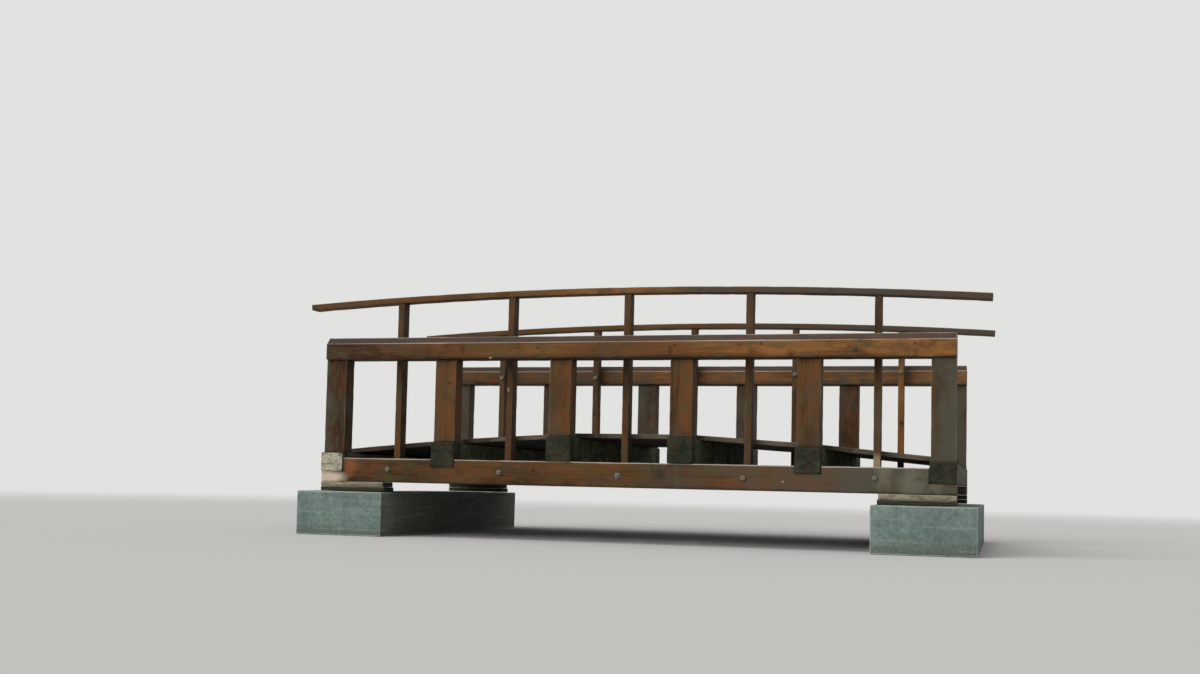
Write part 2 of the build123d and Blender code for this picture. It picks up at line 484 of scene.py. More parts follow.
def concrete(name):
    """Cast concrete with form marks, pores, pale bloom, algae and a dark damp foot, with painted skylight,
    shade and highlights.
    """
    n = Nodes(bpy.data.materials.new(name))
    place = n.place()
    x, _, height_above = n.parts(place)[:3]
    broad = n.noise(place, 1.9, 4.0, 0.55)
    mottle = n.noise(place, 11.0, 5.0, 0.62)
    sand = n.noise(place, 190.0, 3.0, 0.7)
    pores = n.cells(place, 42.0)
    grit = n.noise(place, 34.0, 4.0, 0.65)
    streaks = n.noise(place, (9.0, 9.0, 0.9), 4.0, 0.6)
    layers = n.noise(place, (1.6, 1.6, 30.0), 3.0, 0.6)
    edge = n.attribute("edge", "Fac")
    algae = n.times(n.fade(broad, 0.42, 0.66), n.fade(n.noise(place, 5.0, 4.0, 0.7), 0.4, 0.62))
    ragged_foot = n.plus(height_above, n.swing(mottle, 0.16))
    outward = n.times(n.facing(0), n.math("SIGN", x))

    # The blue-green cast of these colours is painted skylight and light from plants
    colour = n.coats(
        linear(84, 106, 100),
        (n.fade(broad, 0.3, 0.7), linear(118, 143, 138)),
        (n.fade(mottle, 0.35, 0.7, 0.0, 0.55), linear(76, 98, 90)),
        (n.fade(streaks, 0.52, 0.72, 0.0, 0.6), linear(64, 80, 68)),
        (n.times(algae, 0.55), linear(86, 98, 66)),
        (n.fade(ragged_foot, 0.13, 0.0, 0.0, 0.7), linear(62, 66, 54)),
        (n.times(n.fade(n.facing(2), 0.4, 0.9), 0.45), linear(128, 122, 104)),
        # Painted shade on the faces that look towards the middle of the span
        (n.fade(outward, -0.5, -0.9, 0.0, 0.75), linear(68, 77, 55)),
        (n.fade(layers, 0.52, 0.70, 0.0, 0.35), linear(140, 152, 144)),
    )
    colour = n.mix(1.0, colour, n.fade(grit, 0.30, 0.70, 0.74, 1.26), "MULTIPLY")
    colour = n.coats(
        colour,
        # Pale arrises: wear, with a painted highlight
        (n.times(edge, n.fade(mottle, 0.30, 0.55, 0.1, 0.9)), linear(158, 170, 160)),
        (n.fade(sand, 0.35, 0.75, 0.0, 0.3), linear(176, 178, 166)),
        # The pores are darkened as painted shade inside them
        (n.fade(pores, 0.12, 0.05, 0.0, 0.6), linear(52, 55, 48)),
    )
    height = n.plus(n.times(mottle, 0.7), n.times(sand, 0.25))
    height = n.minus(height, n.fade(pores, 0.14, 0.04))
    return n.finish(colour, n.fade(mottle, 0.3, 0.7, 0.82, 0.95), n.bump(height, 0.55, 0.004))


def galvanised(name, zinc, rusty):
    """Zinc-coated steel, dulled, with some rust."""
    n = Nodes(bpy.data.materials.new(name))
    place = n.place()
    rust = n.fade(n.noise(place, 90.0, 3.0, 0.6), 0.56, 0.70)
    spangle = n.cells(place, 160.0, "Color")
    colour = n.coats(zinc, (0.08, spangle), (n.times(rust, rusty), linear(92, 64, 44)))
    return n.finish(colour, n.fade(rust, 0.0, 1.0, 0.5, 0.85), Metallic=0.5)


STAINED_FRAME = wood_look(
    dark=(56, 36, 18), middle=(98, 67, 35), light=(142, 95, 50), ruddy=(112, 64, 38),
    dusty=(84, 68, 52), worn=(180, 170, 158), weathered=(76, 69, 65), damp=(83, 79, 67),
    mossy=(74, 72, 43), cut=(96, 74, 52), under=(58, 48, 32), drips=0.12,
)
STAINED_RAIL = wood_look(
    dark=(54, 38, 22), middle=(92, 68, 42), light=(130, 90, 52), ruddy=(112, 68, 38),
    dusty=(86, 74, 62), worn=(136, 122, 104), weathered=(90, 80, 72), damp=(80, 71, 63),
    mossy=(76, 68, 44), cut=(84, 72, 60), ring_gap=0.0045,
)
BARE_BEAM = wood_look(
    dark=(28, 30, 21), middle=(50, 51, 39), light=(106, 110, 84), ruddy=(70, 56, 40),
    dusty=(52, 58, 46), worn=(66, 66, 52), weathered=(84, 80, 68), damp=(30, 36, 22),
    mossy=(46, 58, 44), cut=(64, 63, 51), fresh_cut=(192, 187, 164), relief=1.8, roughness=0.84,
    drips=0.7,
)
DECK_BOARD = wood_look(
    dark=(54, 48, 43), middle=(90, 80, 70), light=(118, 106, 92), ruddy=(96, 78, 64),
    dusty=(94, 86, 82), worn=(126, 114, 98), weathered=(122, 113, 101), damp=(36, 34, 27),
    mossy=(74, 72, 56), cut=(70, 64, 54), under=(36, 34, 27), relief=1.6, roughness=0.8,
)
BEARING_BOARD = wood_look(
    dark=(50, 50, 38), middle=(98, 95, 78), light=(162, 152, 130), ruddy=(108, 96, 76),
    dusty=(92, 96, 82), worn=(152, 146, 126), weathered=(142, 136, 118), damp=(56, 59, 45),
    # The sawn ends are dark as painted shade
    mossy=(76, 82, 60), cut=(56, 50, 40), relief=1.8, roughness=0.84,
)

WOODS = {
    "frame_timber": (STAINED_FRAME, FRAME_MARKS, True),
    "rail_timber": (STAINED_RAIL, RAIL_MARKS),
    "weathered_beam": (BARE_BEAM,),
    "deck_board": (DECK_BOARD,),
    "bearing_timber": (BEARING_BOARD,),
}
MATERIALS = {name: wood(name, *finish) for name, finish in WOODS.items()}
MATERIALS["concrete"] = concrete("concrete")
MATERIALS["galvanised_steel"] = galvanised("galvanised_steel", linear(122, 118, 100), 0.6)
MATERIALS["dull_steel"] = galvanised("dull_steel", linear(58, 52, 40), 0.9)


# Meshes


def new_object(name, data):
    made = bpy.data.objects.new(name, data)
    bpy.context.scene.collection.objects.link(made)
    return made


def place_piece(name, mesh, slot, *replaced):
    """Makes an object of a mesh, which rides on the bridge."""
    piece = new_object(name, mesh)
    mesh.materials.append(MATERIALS[slot])
    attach(piece, "root")
    if replaced:
        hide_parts(*replaced)
    return piece


def shade(mesh, sharp_angle):
    mesh.shade_smooth()
    mesh.set_sharp_from_angle(angle=math.radians(sharp_angle))


def ring_faces(first, second, turned=False):
    """Returns the faces between two rings of points, either of which may be a single point."""
    faces = []
    for i in range(max(len(first), len(second))):
        j = i + 1
        lower = (first[i % len(first)], first[j % len(first)])
        upper = (second[j % len(second)], second[i % len(second)])
        corners = tuple(dict.fromkeys(lower + upper))
        faces.append(corners[::-1] if turned else corners)
    return faces


# Timbers

# How far wear reaches in from an arris, and how rubbed a face's edge is, where the arris itself is 1
ARRIS_WEAR = 0.012
FACE_EDGE_WEAR = 0.7
# The spacing of points round a section and along a timber, and what a crack's lips keep from them
SECTION_STEP = 0.035
LENGTH_STEP = 0.05
CRACK_CLEARANCE = 0.008
MERGE_DISTANCE = 0.00005
# How far a crack wanders sideways, how much of its width it keeps where closed, and its depth at ends
CRACK_WANDER = 0.006
CLOSED_SHARE = 0.12
END_CRACK_DEPTH = 0.012
# The rings that close an end, as shares of its size
END_RINGS = (0.85, 0.62, 0.4, 0.2)


def box_corners(half_width, half_height):
    """Returns the corners of a rectangular section, counterclockwise from its first face."""
    signs = ((1, -1), (1, 1), (-1, 1), (-1, -1))
    return [Vector((half_width * x, half_height * y)) for x, y in signs]


def bevelled_corners(half_width, half_height, bevel):
    """Returns the corners of a section with both upper corners cut off."""
    right = [
        Vector((half_width, -half_height)),
        Vector((half_width, half_height - bevel)),
        Vector((half_width - bevel, half_height)),
    ]
    return right + [Vector((-corner.x, corner.y)) for corner in reversed(right)]


@dataclass
class Check:
    """A drying crack along one face of a timber, which tapers where it ends inside the timber."""

    face: int
    across: float
    start: float
    end: float
    depth: float
    width: float

    def opening(self, along):
        """Returns how far the crack is open there, from 0 to 1."""
        reach = min(0.2, (self.end - self.start) / 2)
        rise = smooth_step(along, self.start, self.start + reach)
        return min(rise, 1 - smooth_step(along, self.end - reach, self.end))


def cracks(seed, length, faces, count, depth=0.006, width=0.002):
    """Returns checks on some of the faces, a few of which run out at an end."""
    pick = random.Random(seed)
    made = []
    for face in pick.sample(faces, count):
        run = pick.uniform(0.25, 0.75) * length
        start = pick.uniform(-0.25, 1.05) * (length - run)
        size = pick.uniform(0.5, 1.0)
        made.append(Check(face, pick.uniform(-0.5, 0.5), start, start + run, depth * size, width * size))
    return made


@dataclass
class SectionPoint:
    """A point round a timber's section, with the ways out of its face and along it.

    Where it lies on a check, its side is 0 at the bottom of the crack and -1 or 1 on its lips.
    """

    place: Vector
    out: Vector
    run: Vector
    edge: float
    check: Check = None
    side: int = 0

    def bottom(self, along):
        """Returns how far open the crack is whose bottom this is, from 0 to 1."""
        return self.check.opening(along) if self.check and self.side == 0 else 0.0


def face_places(length, checks):
    """Returns places along one face of a section, each with its check and its side of the crack."""
    rim = min(ARRIS_WEAR, length * 0.3)
    inner = length - 2 * rim
    count = max(1, round(inner / SECTION_STEP))
    places = [(rim + inner * i / count, None, 0) for i in range(count + 1)]
    for check in checks:
        middle = length / 2 + check.across * inner / 2
        places = [place for place in places if abs(place[0] - middle) > CRACK_CLEARANCE]
        places += [(middle, check, side) for side in (-1, 0, 1)]
    places += [(0.0, None, 0), (length, None, 0)]
    return sorted(places, key=lambda place: (place[0], place[2]))


def section(corners, radius, checks):
    """Returns the points round a convex outline whose corners are rounded."""
    points = []
    count = len(corners)
    runs = [(corners[(i + 1) % count] - corners[i]).normalized() for i in range(count)]
    turns = [runs[i].angle(runs[(i + 1) % count]) for i in range(count)]
    trims = [radius * math.tan(turn / 2) for turn in turns]
    for face, run in enumerate(runs):
        out = Vector((run.y, -run.x))
        first = corners[face] + run * trims[face - 1]
        last = corners[(face + 1) % count] - run * trims[face]
        length = (last - first).length
        own_checks = [check for check in checks if check.face == face]
        for place, check, side in face_places(length, own_checks):
            edge = FACE_EDGE_WEAR if place in (0.0, length) else 0.0
            points.append(SectionPoint(first + run * place, out, run, edge, check, side))
        centre = last - out * radius
        for step in (1, 2):
            direction = Matrix.Rotation(turns[face] * step / 3, 2) @ out
            points.append(SectionPoint(centre + direction * radius, direction, run, 1.0))
    return points


def stations(length, radius, notches):
    """Returns places along a timber, each with its end's inset there and its notch's level."""
    ends = [(0.0, radius, None), (radius * 0.3, radius * 0.286, None), (radius, 0.0, None)]
    start = radius + ARRIS_WEAR
    reach = length - 2 * start
    count = max(1, round(reach / LENGTH_STEP))
    places = ends + [(start + reach * i / count, 0.0, None) for i in range(count + 1)]
    places += [(length - along, inset, None) for along, inset, _ in reversed(ends)]
    for low, high, level in notches:
        before = [place for place in places if place[0] < low]
        inside = [(along, inset, level) for along, inset, _ in places if low < along < high]
        after = [place for place in places if place[0] > high]
        entry = [(low, 0.0, None), (low, 0.0, level)] if before else []
        leave = [(high, 0.0, level), (high, 0.0, None)] if after else []
        places = before + entry + inside + leave + after
    return places


@dataclass
class Timber:
    """A timber that fills the box between two corners and runs along X, Y or Z.

    tone and age are numbers or functions of a point, and both also carry painted light and shade on
    some timbers. shape moves a point of the straight timber to where it belongs. A notch is its start
    and end along the timber and its floor, and cracked gives the faces that may crack, how many do,
    and the cracks' depth and width.
    """

    low: Vector
    high: Vector
    run: str
    seed: int
    corners: list = None
    radius: float = 0.004
    cracked: tuple = None
    notches: tuple = ()
    pith: tuple = None
    tone: object = None
    age: object = 0.0
    shape: object = None
    wave: float = 0.001
    chip: float = 0.0022
    rubbed_ends: float = 1.0

    def __post_init__(self):
        pick = random.Random(self.seed)
        self.axes = RUNS[self.run]
        self.size = [self.high[axis] - self.low[axis] for axis in self.axes]
        self.middle = [(self.high[axis] + self.low[axis]) / 2 for axis in self.axes]
        if self.pith is None:
            self.pith = [pick.uniform(-0.22, 0.22) * width for width in self.size[1:]]
        if self.tone is None:
            self.tone = pick.uniform(-1, 1)
        self.drift = Vector((pick.uniform(0, 60), 0, 0))
        corners = self.corners or box_corners(self.size[1] / 2, self.size[2] / 2)
        checks = cracks(self.seed, self.size[0], *self.cracked) if self.cracked else ()
        self.outline = section(corners, self.radius, checks)

    def point(self, along, across, up, level):
        """Returns a place on the straight timber, no higher than the notch's level there."""
        point = Vector((0.0, 0.0, 0.0))
        for axis, value, centre in zip(self.axes, (along - self.size[0] / 2, across, up), self.middle):
            point[axis] = value + centre
        if level is not None:
            point[self.axes[2]] = min(point[self.axes[2]], level)
        return point

    def opened(self, spot, along):
        """Returns a point's place in the section, moved aside where it lies on a crack."""
        if not spot.check:
            return spot.place
        slide = CRACK_WANDER * noise.noise(Vector((along * 2.5, self.seed, 0.5)))
        share = CLOSED_SHARE + (1 - CLOSED_SHARE) * spot.check.opening(along)
        slide += spot.side * spot.check.width * share / 2
        return spot.place + spot.run * slide

    def worn(self, spot, along, inset):
        """Returns a point's place in the section, pulled in by wear, chips and cracks."""
        sample = Vector((along * 3.0, spot.place.x * 22.0, spot.place.y * 22.0)) + self.drift * 7
        pull = inset + self.wave * (0.5 + 0.5 * noise.noise(sample))
        if spot.edge:
            pull += self.chip * max(0.0, noise.noise(sample * 3.7)) * 1.6
        if spot.check:
            pull += spot.check.depth * spot.bottom(along)
        return self.opened(spot, along) - spot.out * pull

    def end_level(self, along):
        """Returns the level of the notch that runs out at an end, if one does."""
        return next((level for low, high, level in self.notches if low < along < high), None)


class Timbers:
    """Gathers timbers into one mesh, with each point's place in the grain and its state."""

    def __init__(self):
        self.points = []
        self.faces = []
        self.grain = []
        self.state = []
        self.cut = []

    def put(self, timber, along, at, edge, level, cut):
        """Adds a point and returns its number."""
        point = timber.point(along, at.x, at.y, level)
        tone, age = [value(point) if callable(value) else value for value in (timber.tone, timber.age)]
        self.grain.append(timber.drift + Vector((along, at.x - timber.pith[0], at.y - timber.pith[1])))
        self.state.append((edge, tone, age))
        self.cut.append(cut)
        self.points.append(timber.shape(point) if timber.shape else point)
        return len(self.points) - 1

    def add(self, low, high, run, seed, **settings):
        """Adds a timber with the settings that its class names."""
        timber = Timber(low, high, run, seed, **settings)
        length = timber.size[0]
        rings = []
        for along, inset, level in stations(length, timber.radius, timber.notches):
            cut = 1.0 if inset == timber.radius else 0.0
            ring = []
            for spot in timber.outline:
                edge = timber.rubbed_ends if inset else spot.edge
                ring.append(self.put(timber, along, timber.worn(spot, along, inset), edge, level, cut))
            rings.append(ring)
        for first, second in zip(rings, rings[1:]):
            self.faces += ring_faces(first, second)
        self.close_end(timber, rings[0], 0.0, 1)
        self.close_end(timber, rings[-1], length, -1)

    def close_end(self, timber, last, along, inward):
        """Closes an end, where a crack that runs out opens towards the heart."""
        level = timber.end_level(along)
        for share in END_RINGS:
            ring = []
            for spot in timber.outline:
                at = (timber.opened(spot, along) - spot.out * timber.radius) * share
                depth = END_CRACK_DEPTH * spot.bottom(along) * share
                ring.append(self.put(timber, along + inward * depth, at, 0.0, level, 1.0))
            self.faces += ring_faces(last, ring, inward > 0)
            last = ring
        heart = self.put(timber, along, Vector((0.0, 0.0)), 0.0, level, 1.0)
        self.faces += ring_faces(last, [heart], inward > 0)

    def build(self, name, slot, *replaced):
        """Makes the piece, which stands for the solids named."""
        mesh = bpy.data.meshes.new(name)
        mesh.from_pydata(self.points, [], self.faces)
        for key, values in (("grain", self.grain), ("state", self.state)):
            layer = mesh.attributes.new(key, "FLOAT_VECTOR", "POINT")
            layer.data.foreach_set("vector", [part for value in values for part in value])
        mesh.attributes.new("cut", "FLOAT", "POINT").data.foreach_set("value", self.cut)
        clean_mesh(mesh)
        shade(mesh, 35)
        return place_piece(name, mesh, slot, *replaced)


def clean_mesh(mesh):
    """Merges the points that a notch or a closed crack brings together."""
    edit = bmesh.new()
    edit.from_mesh(mesh)
    bmesh.ops.remove_doubles(edit, verts=edit.verts, dist=MERGE_DISTANCE)
    bmesh.ops.dissolve_degenerate(edit, edges=edit.edges, dist=MERGE_DISTANCE)
    edit.to_mesh(mesh)
    edit.free()


def dress(kind, place, slot, run, seed, box=None, **settings):
    """Makes one node's piece as one timber that fills the node's box, or the one given."""
    node = f"{kind}_{place}"
    timbers = Timbers()
    timbers.add(*(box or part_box(node)), run, seed, **settings)
    timbers.build(f"{kind}_piece_{place}", slot, node)


# The frames

# How light the stain is along each top chord, as place along the span and tone
TOP_CHORD_TONES = {
    "near": ((-2.35, -1.3), (-1.6, -0.3), (-0.6, 0.6), (0.6, 0.8), (1.5, 1.7), (2.1, 2.5), (2.35, 1.5)),
    "far": ((-2.35, 0.3), (-1.0, 0.6), (-0.4, 1.5), (0.2, 1.3), (0.8, 0.8), (1.7, 0.9), (2.35, 2.2)),
}
TOP_CHORD_GREYS = {"near": 0.0, "far": 0.33}
# Each post's tone at its left and right arris, then how grey it has gone there
PLAIN_POST_LOOK = ((-0.5, -0.3), (0.3, 0.25))
POST_LOOKS = {
    ("near", 1): ((-2.6, -1.4), (0.42, 0.1)),
    ("near", 2): ((-0.3, 0.2), (0.12, 0.0)),
    ("near", 3): ((-0.5, 0.1), (0.15, 0.0)),
    ("near", 4): ((-0.3, 0.2), (0.1, 0.0)),
    ("near", 5): ((-0.3, -0.1), (0.15, 0.25)),
    ("near", 6): ((-0.9, -1.9), (0.35, 0.85)),
    ("far", 2): ((-0.3, -0.1), (0.1, 0.1)),
    ("far", 5): ((-0.6, -0.3), (0.0, -0.1)),
}
# How grey the bottom chords have gone, as place along the span and greyness
BOTTOM_CHORD_GREYS = ((-2.34, 0.3), (-1.7, 0.08), (-0.2, 0.08), (0.5, 0.32), (1.2, 0.5), (2.0, 0.85))
# How much darker a post is where it meets another timber, as painted shade, and how far up or down that
# reaches
JOINT_SHADE_TONE = -3.0
JOINT_REACH = 0.022


def along_span(table, x):
    """Returns the value at a place along the span, read between a table's entries."""
    for (x0, v0), (x1, v1) in zip(table, table[1:]):
        if x <= x1:
            return between((v0, v1), max(0.0, (x - x0) / (x1 - x0)))
    return table[-1][1]


def top_chord(side):
    low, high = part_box(f"top_chord_{side}")
    size = high - low

    def tone(point):
        """Varies along the chord, and darkens along its lower arrises."""
        own = along_span(TOP_CHORD_TONES[side], point.x)
        return own - 2.5 * smooth_step(point.z, low.z + 0.026, low.z + 0.006)

    dress(
        "top_chord", side, "frame_timber", "X", 100 + SIDES[side],
        corners=bevelled_corners(size.y / 2, size.z / 2, TOP_CHORD_BEVEL), radius=0.006,
        cracked=((0, 2), 2), tone=tone, age=TOP_CHORD_GREYS[side],
    )


def notch(beam_number, chord_low, chord_high):
    """Returns a beam's notch in a bottom chord, or None where the beam lies on top of it."""
    low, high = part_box(f"cross_beam_{beam_number}")
    if low.z > chord_high.z - 0.001:
        return None
    start = low.x - NOTCH_GAP - chord_low.x
    end = high.x + NOTCH_GAP - chord_low.x
    return (start, end, low.z - NOTCH_FLOOR_GAP)


def bottom_chord(side):
    low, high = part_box(f"bottom_chord_{side}")
    notches = [notch(number, low, high) for number in POSTS]

    def tone(point):
        foot = smooth_step(point.z, high.z - 0.05, low.z)
        return 0.15 * smooth_step(point.x, 0.4, 2.3) - 0.5 * foot - 0.85 * smooth_step(-point.x, 1.0, 1.6)

    dress(
        "bottom_chord", side, "frame_timber", "X", 110 + SIDES[side], radius=0.008,
        cracked=((0, 2), 2), notches=[cut for cut in notches if cut], tone=tone,
        age=lambda point: along_span(BOTTOM_CHORD_GREYS, point.x),
    )


def post(side, number):
    low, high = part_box(f"post_{side}_{number}")
    tones, greys = POST_LOOKS.get((side, number), PLAIN_POST_LOOK)
    outer = low.y if side == "near" else high.y

    def across(point):
        return smooth_step(point.x, low.x, high.x)

    def behind(point):
        """Returns 0 on the outer face and 1 on the faces behind it."""
        return smooth_step(abs(point.y - outer), 0.01, 0.03)

    # The side and inner faces behind the outer face are darker as painted shade
    def tone(point):
        # Painted shade at the ends, where the post meets the chords and beams
        joint = smooth_step(min(point.z - low.z, high.z - point.z), JOINT_REACH, 0.0)
        return between(tones, across(point)) - 0.8 * behind(point) + JOINT_SHADE_TONE * joint

    def age(point):
        foot = smooth_step(point.z, low.z + 0.16, low.z)
        # The faces behind the outer face are also greyer as painted shade
        return between(greys, across(point)) + 0.2 * foot + 0.3 * behind(point)

    dress(
        "post", f"{side}_{number}", "frame_timber", "Z", 200 + 10 * number + SIDES[side],
        cracked=((0, 1, 2), 2), tone=tone, age=age, rubbed_ends=0.0,
    )


# Cross beams and deck


def cross_beam(number):
    """A bare timber. The first is freshly cut, and the others are lighter between the frames."""
    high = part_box(f"cross_beam_{number}")[1]
    fresh = number == 1

    def near_end(point):
        return smooth_step(abs(point.y), high.y - 0.2, high.y - 0.1)

    dress(
        "cross_beam", number, "weathered_beam", "Y", 300 + number, radius=0.005,
        cracked=((0, 1, 2, 3), 1 if fresh else 3, 0.02, 0.005),
        tone=1.8 if fresh else lambda point: 1.9 - 1.1 * near_end(point),
        age=0.0 if fresh else lambda point: 0.45 * near_end(point) - 0.1, wave=0.002, chip=0.004,
    )


def deck_bay(number):
    """The boards of one bay, from beam to beam, with narrow gaps between them."""
    low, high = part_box(f"deck_bay_{number}")
    beams = [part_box(f"cross_beam_{number + i}") for i in (0, 1)]
    centres = [(beam[0].x + beam[1].x) / 2 for beam in beams]
    slope = (beams[1][1].z - beams[0][1].z) / (centres[1] - centres[0])
    start = low.x if number == 1 else centres[0] + BOARD_END_GAP / 2
    end = high.x if number == BAYS[-1] else centres[1] - BOARD_END_GAP / 2

    def slanted(point):
        """Tilts the boards to the slope of the bay and seats them on the beams."""
        level = beams[0][1].z + slope * (point.x - centres[0]) + point.z
        for beam_low, beam_high in beams:
            if beam_low.x <= point.x <= beam_high.x:
                level = max(level, beam_high.z)
        return Vector((point.x, point.y, level))

    pitch = (high.y - low.y + BOARD_GAP) / BOARD_COUNT
    pick = random.Random(400 + number)
    timbers = Timbers()
    for board in range(BOARD_COUNT):
        y = low.y + board * pitch
        timbers.add(
            (start, y, 0.0),
            (end, y + pitch - BOARD_GAP, BOARD_THICKNESS - 0.0005 * pick.random()),
            "X", 400 + 20 * number + board, radius=0.003,
            pith=(pick.uniform(-0.05, 0.05), pick.choice((-1, 1)) * pick.uniform(0.05, 0.12)),
            # The two outermost boards are lighter as painted light on the deck's edges
            tone=1.6 if board in (0, BOARD_COUNT - 1) else None,
            age=pick.uniform(0.0, 0.3), shape=slanted,
        )
    timbers.build(f"deck_boards_{number}", "deck_board", f"deck_bay_{number}")
    deck_screws(number, beams, slanted, low.y, pitch)


def deck_screws(number, beams, slanted, first_y, pitch):
    """Two screws through each board at each beam."""
    screws = Metal()
    for x in (beams[0][1].x - SCREW_INSET, beams[1][0].x + SCREW_INSET):
        for board in range(BOARD_COUNT):
            for share in (0.25, 0.75):
                y = first_y + board * pitch + share * (pitch - BOARD_GAP)
                top = slanted(Vector((x, y, BOARD_THICKNESS)))
                screws.add(SCREW_HEAD, 8, top - Vector((0, 0, SEAT_DEPTH)), Vector((0, 0, 1)))
    screws.build(f"deck_screws_{number}")


# Handrails

# How light the stain is along each handrail, as place along the span and tone
RAIL_TONES = {
    "near": (
        (-2.5, 0.2), (-1.8, 0.6), (-1.0, 0.8), (-0.3, 1.4), (0.2, 1.3), (0.8, 0.2), (1.6, -0.5), (2.5, -0.9)
    ),
    "far": ((-2.5, 0.3), (-0.9, 0.3), (0.9, 0.0), (1.8, 0.2), (2.5, 0.6)),
}
# The tone of the handrail posts, and the one whose stain is lighter, which is partly painted sunlight
RAIL_POST_TONE = -0.3
LIGHT_RAIL_POST = ("far", 5)
LIGHT_RAIL_POST_TONE = 1.8
# Where the painted shade on a handrail post's side faces starts and is full, from its middle
RAIL_POST_SIDE = (0.022, 0.0238)


class RailArc:
    """The arc that the handrail's upper face follows."""

    def __init__(self, side):
        low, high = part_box(f"handrail_{side}")
        self.half = high.x
        self.top = high.z
        rise = high.z - low.z - RAIL_THICKNESS
        self.radius = (self.half**2 + rise**2) / (2 * rise)
        self.centre = self.top - self.radius
        self.y = (low.y + high.y) / 2

    def bend(self, point):
        """Moves a point of a straight rail onto the arc."""
        angle = point.x / self.radius
        radius = self.radius - (self.top - point.z)
        return Vector((radius * math.sin(angle), point.y, self.centre + radius * math.cos(angle)))

    def underside(self, x):
        return self.centre + math.sqrt((self.radius - RAIL_THICKNESS) ** 2 - x**2)


def handrail(side):
    low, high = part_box(f"handrail_{side}")
    arc = RailArc(side)
    half = arc.radius * math.asin(arc.half / arc.radius)
    dress(
        "handrail", side, "rail_timber", "X", 500 + SIDES[side],
        box=((-half, low.y, arc.top - RAIL_THICKNESS), (half, high.y, arc.top)), cracked=((1, 3), 1),
        pith=(0.02, -0.09), tone=lambda point: along_span(RAIL_TONES[side], point.x),
        age=lambda point: 0.9 * smooth_step(point.x, -0.8, 1.8), shape=arc.bend,
    )


def rail_post(side, number):
    low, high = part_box(f"rail_post_{side}_{number}")
    arc = RailArc(side)
    deck_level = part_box(f"deck_bay_{number}")[0].z
    own_tone = LIGHT_RAIL_POST_TONE if (side, number) == LIGHT_RAIL_POST else RAIL_POST_TONE

    def beside(point):
        """Returns 1 on the faces that look along the span, and 0 on the others."""
        return smooth_step(abs(point.x - (low.x + high.x) / 2), *RAIL_POST_SIDE)

    def shaded_head(point):
        return smooth_step(point.z, high.z - 0.5, high.z - 0.1)

    # Lighter towards the foot as painted light, and darker towards the head and on the side faces as
    # painted shade
    def tone(point):
        foot = smooth_step(point.z, deck_level + 0.05, deck_level - 0.03)
        return own_tone + 0.5 * foot - 0.2 * shaded_head(point) - 1.1 * beside(point)

    dress(
        "rail_post", f"{side}_{number}", "rail_timber", "Z", 600 + 10 * number + SIDES[side],
        radius=0.003, cracked=((0, 2), 1, 0.005), tone=tone,
        # The side faces and the head are also greyer as painted shade
        age=lambda point: 0.1 + 0.4 * beside(point) + 0.15 * shaded_head(point),
        shape=lambda point: Vector((point.x, point.y, min(point.z, arc.underside(point.x)))),
    )


# Bearings and abutments

# The tone and greyness of each layer's boards on their outer side, then further in. The upper boards' light
# outer tone is painted sunlight, and the darker, greyer look further in is painted shade.
BEARING_LOOKS = {"upper": (1.9, -0.1), "lower": (-1.5, 1.1)}
SHADED_INNER_BEARING_LOOK = (-1.5, 0.9)
GRID_STEP = 0.03


def bearing_boards(end, layer):
    low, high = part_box(f"bearing_boards_{layer}_{end}")
    tones, greys = zip(BEARING_LOOKS[layer], SHADED_INNER_BEARING_LOOK)

    def inward(point, sign):
        """Returns how far a point is from the bridge's outer side, from 0 to 1."""
        return smooth_step(high.y - sign * point.y, 0.0, 0.03)

    timbers = Timbers()
    for side, sign in SIDES.items():
        chord_low, chord_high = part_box(f"bottom_chord_{side}")
        timbers.add(
            (low.x, chord_low.y, low.z), (high.x, chord_high.y, high.z), "X",
            700 + 10 * ENDS[end] + sign + (100 if layer == "upper" else 0),
            pith=(0.03, -0.09), chip=0.004,
            # Light outer tone of the upper boards as painted sunlight, and darker inner parts as painted
            # shade
            tone=lambda point: between(tones, inward(point, sign)),
            age=lambda point: between(greys, inward(point, sign)),
        )
    place = f"{layer}_{end}"
    timbers.build(f"bearing_piece_{place}", "bearing_timber", f"bearing_boards_{place}")


def grid_places(low, high, radius):
    """Returns places along an edge of a block, close together in its rounded corners."""
    count = round((high - low - 2 * radius) / GRID_STEP)
    middle = [low + radius + (high - low - 2 * radius) * i / count for i in range(count + 1)]
    return [low, low + radius * 0.4] + middle + [high - radius * 0.4, high]


def gridded_block(edit, low, high, radius):
    """Makes the six faces of a block as grids, joined at its edges."""
    for axis in range(3):
        u, v = (axis + 1) % 3, (axis + 2) % 3
        u_places, v_places = [grid_places(low[i], high[i], radius) for i in (u, v)]
        for level, turned in ((low[axis], True), (high[axis], False)):
            grid = []
            for a in u_places:
                points = [{axis: level, u: a, v: b} for b in v_places]
                grid.append([edit.verts.new((point[0], point[1], point[2])) for point in points])
            for row, next_row in zip(grid, grid[1:]):
                for j in range(len(row) - 1):
                    corners = [row[j], next_row[j], next_row[j + 1], row[j + 1]]
                    edit.faces.new(corners[::-1] if turned else corners)
    bmesh.ops.remove_doubles(edit, verts=edit.verts, dist=0.0001)


